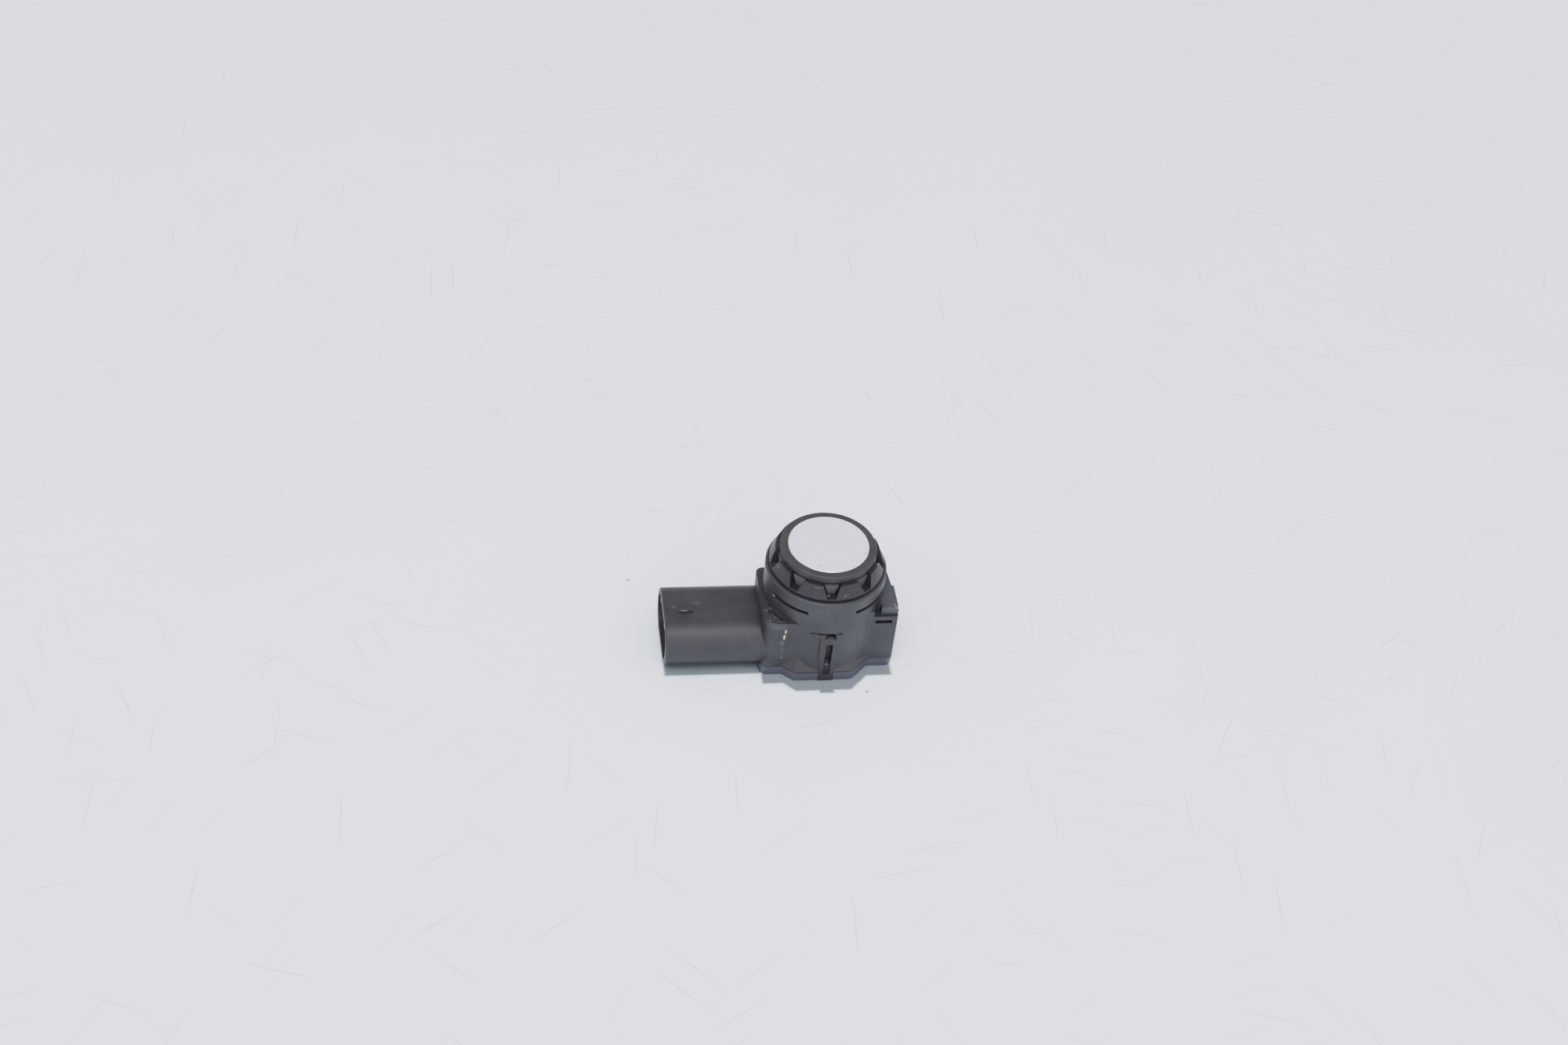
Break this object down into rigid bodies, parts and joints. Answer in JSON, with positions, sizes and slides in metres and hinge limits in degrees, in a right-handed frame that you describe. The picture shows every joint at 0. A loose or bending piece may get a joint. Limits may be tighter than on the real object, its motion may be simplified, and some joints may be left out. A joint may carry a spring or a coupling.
{
  "type": "parking sensor",
  "caption": "Ultrasonic parking sensor: round barrel with a painted membrane in a soft ring and castellated collar, oval plug tube on one side, latch ear on the other, flat rear cover",
  "frame": {"origin": "centre of the rear cover's flat outer face, on the barrel's axis", "axes": "+Z along the barrel towards the membrane, +X from the plug tube towards the latch ear, +Y away from the camera"},
  "size_m": [0.044, 0.0232, 0.0247],
  "materials": {
    "housing": "satin moulded",
    "rear_cover": "matt moulded",
    "castellated_collar": "satin moulded",
    "decoupling_ring": "soft matt",
    "membrane_cup": "satin paint",
    "piezo_disc": "ceramic",
    "damping_pad": "felted",
    "cup_plug": "soft",
    "signal_lead": "bare wire",
    "ground_lead": "bare wire",
    "circuit_board": "solder mask",
    "driver_chip": "moulded",
    "transformer_core": "ferrite",
    "transformer_winding": "enamelled wire",
    "filter_capacitor": "moulded",
    "resonator": "can",
    "ceramic_capacitors": "ceramic",
    "resistors": "glazed",
    "terminals": "tin plate"
  },
  "bodies": {
    "root": {"housing": "housing", "rear_cover": "rear_cover", "castellated_collar": "castellated_collar", "decoupling_ring": "decoupling_ring", "membrane_cup": "membrane_cup", "piezo_disc": "piezo_disc", "damping_pad": "damping_pad", "cup_plug": "cup_plug", "signal_lead": "signal_lead", "ground_lead": "ground_lead", "circuit_board": "circuit_board", "driver_chip": "driver_chip", "transformer_core": "transformer_core", "transformer_winding": "transformer_winding", "filter_capacitor": "filter_capacitor", "resonator": "resonator", "ceramic_capacitors": "ceramic_capacitors", "resistors": "resistors", "terminal_pin_1": "terminals", "terminal_pin_2": "terminals", "terminal_pin_3": "terminals"}
  },
  "joints": []
}
